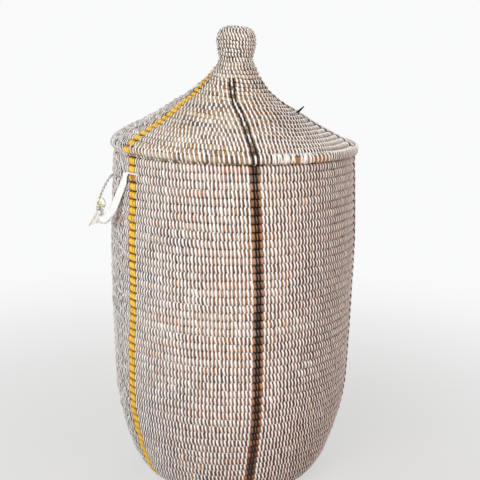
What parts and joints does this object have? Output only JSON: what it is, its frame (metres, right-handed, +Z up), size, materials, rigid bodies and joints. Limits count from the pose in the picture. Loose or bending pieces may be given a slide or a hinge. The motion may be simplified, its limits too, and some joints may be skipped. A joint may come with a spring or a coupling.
{
  "type": "lidded hamper basket",
  "caption": "Tall lidded hamper basket coiled from grass and stitched with white plastic strip, with black and yellow stripes, a coned lid with a coiled knob and a side loop.",
  "frame": {"origin": "centre of the basket's underside, on the floor", "axes": "+Z up along the basket's axis, -Y towards the front with the black stripe, +X to the viewer's right; the side loop hangs towards -X"},
  "size_m": [0.4384, 0.4082, 0.7531],
  "materials": {
    "coiled_grass": "grass coil stitched over with matt white strip",
    "white_strip": "soft white plastic strip",
    "yellow_strip": "golden yellow plastic strip",
    "black_strip": "black plastic strip"
  },
  "bodies": {
    "basket": {"base_coil": "coiled_grass", "wall_coil": "coiled_grass", "rim_coil": "coiled_grass", "wall_stripe_front_black": "black_strip", "wall_stripe_left_yellow": "yellow_strip", "wall_stripe_right_black": "black_strip", "wall_stripe_rear_black": "black_strip", "wall_stripe_rear_yellow": "yellow_strip", "loop_anchor_strip": "white_strip"},
    "lid": {"lid_crown_coil": "coiled_grass", "lid_rim_coil": "coiled_grass", "lid_collar_coil": "coiled_grass", "knob_coil": "coiled_grass", "lid_stripe_front_black": "black_strip", "lid_stripe_left_yellow": "yellow_strip", "lid_stripe_right_black": "black_strip", "lid_stripe_rear_black": "black_strip", "lid_stripe_rear_yellow": "yellow_strip", "loose_strip_end": "black_strip"},
    "loop": {"side_loop": "white_strip", "loop_binding": "yellow_strip", "loop_tail": "white_strip"}
  },
  "joints": [
    {"name": "lid_lift", "type": "slide", "parent": "basket", "child": "lid", "axis": [0, 0, 1], "range_m": [0, 0.25]},
    {"name": "loop_swing", "type": "hinge", "parent": "basket", "child": "loop", "pos_m": [-0.16448, -0.11262, 0.52593], "axis": [-0.4091, 0.8957, -0.1739], "range_deg": [0, 65]}
  ]
}
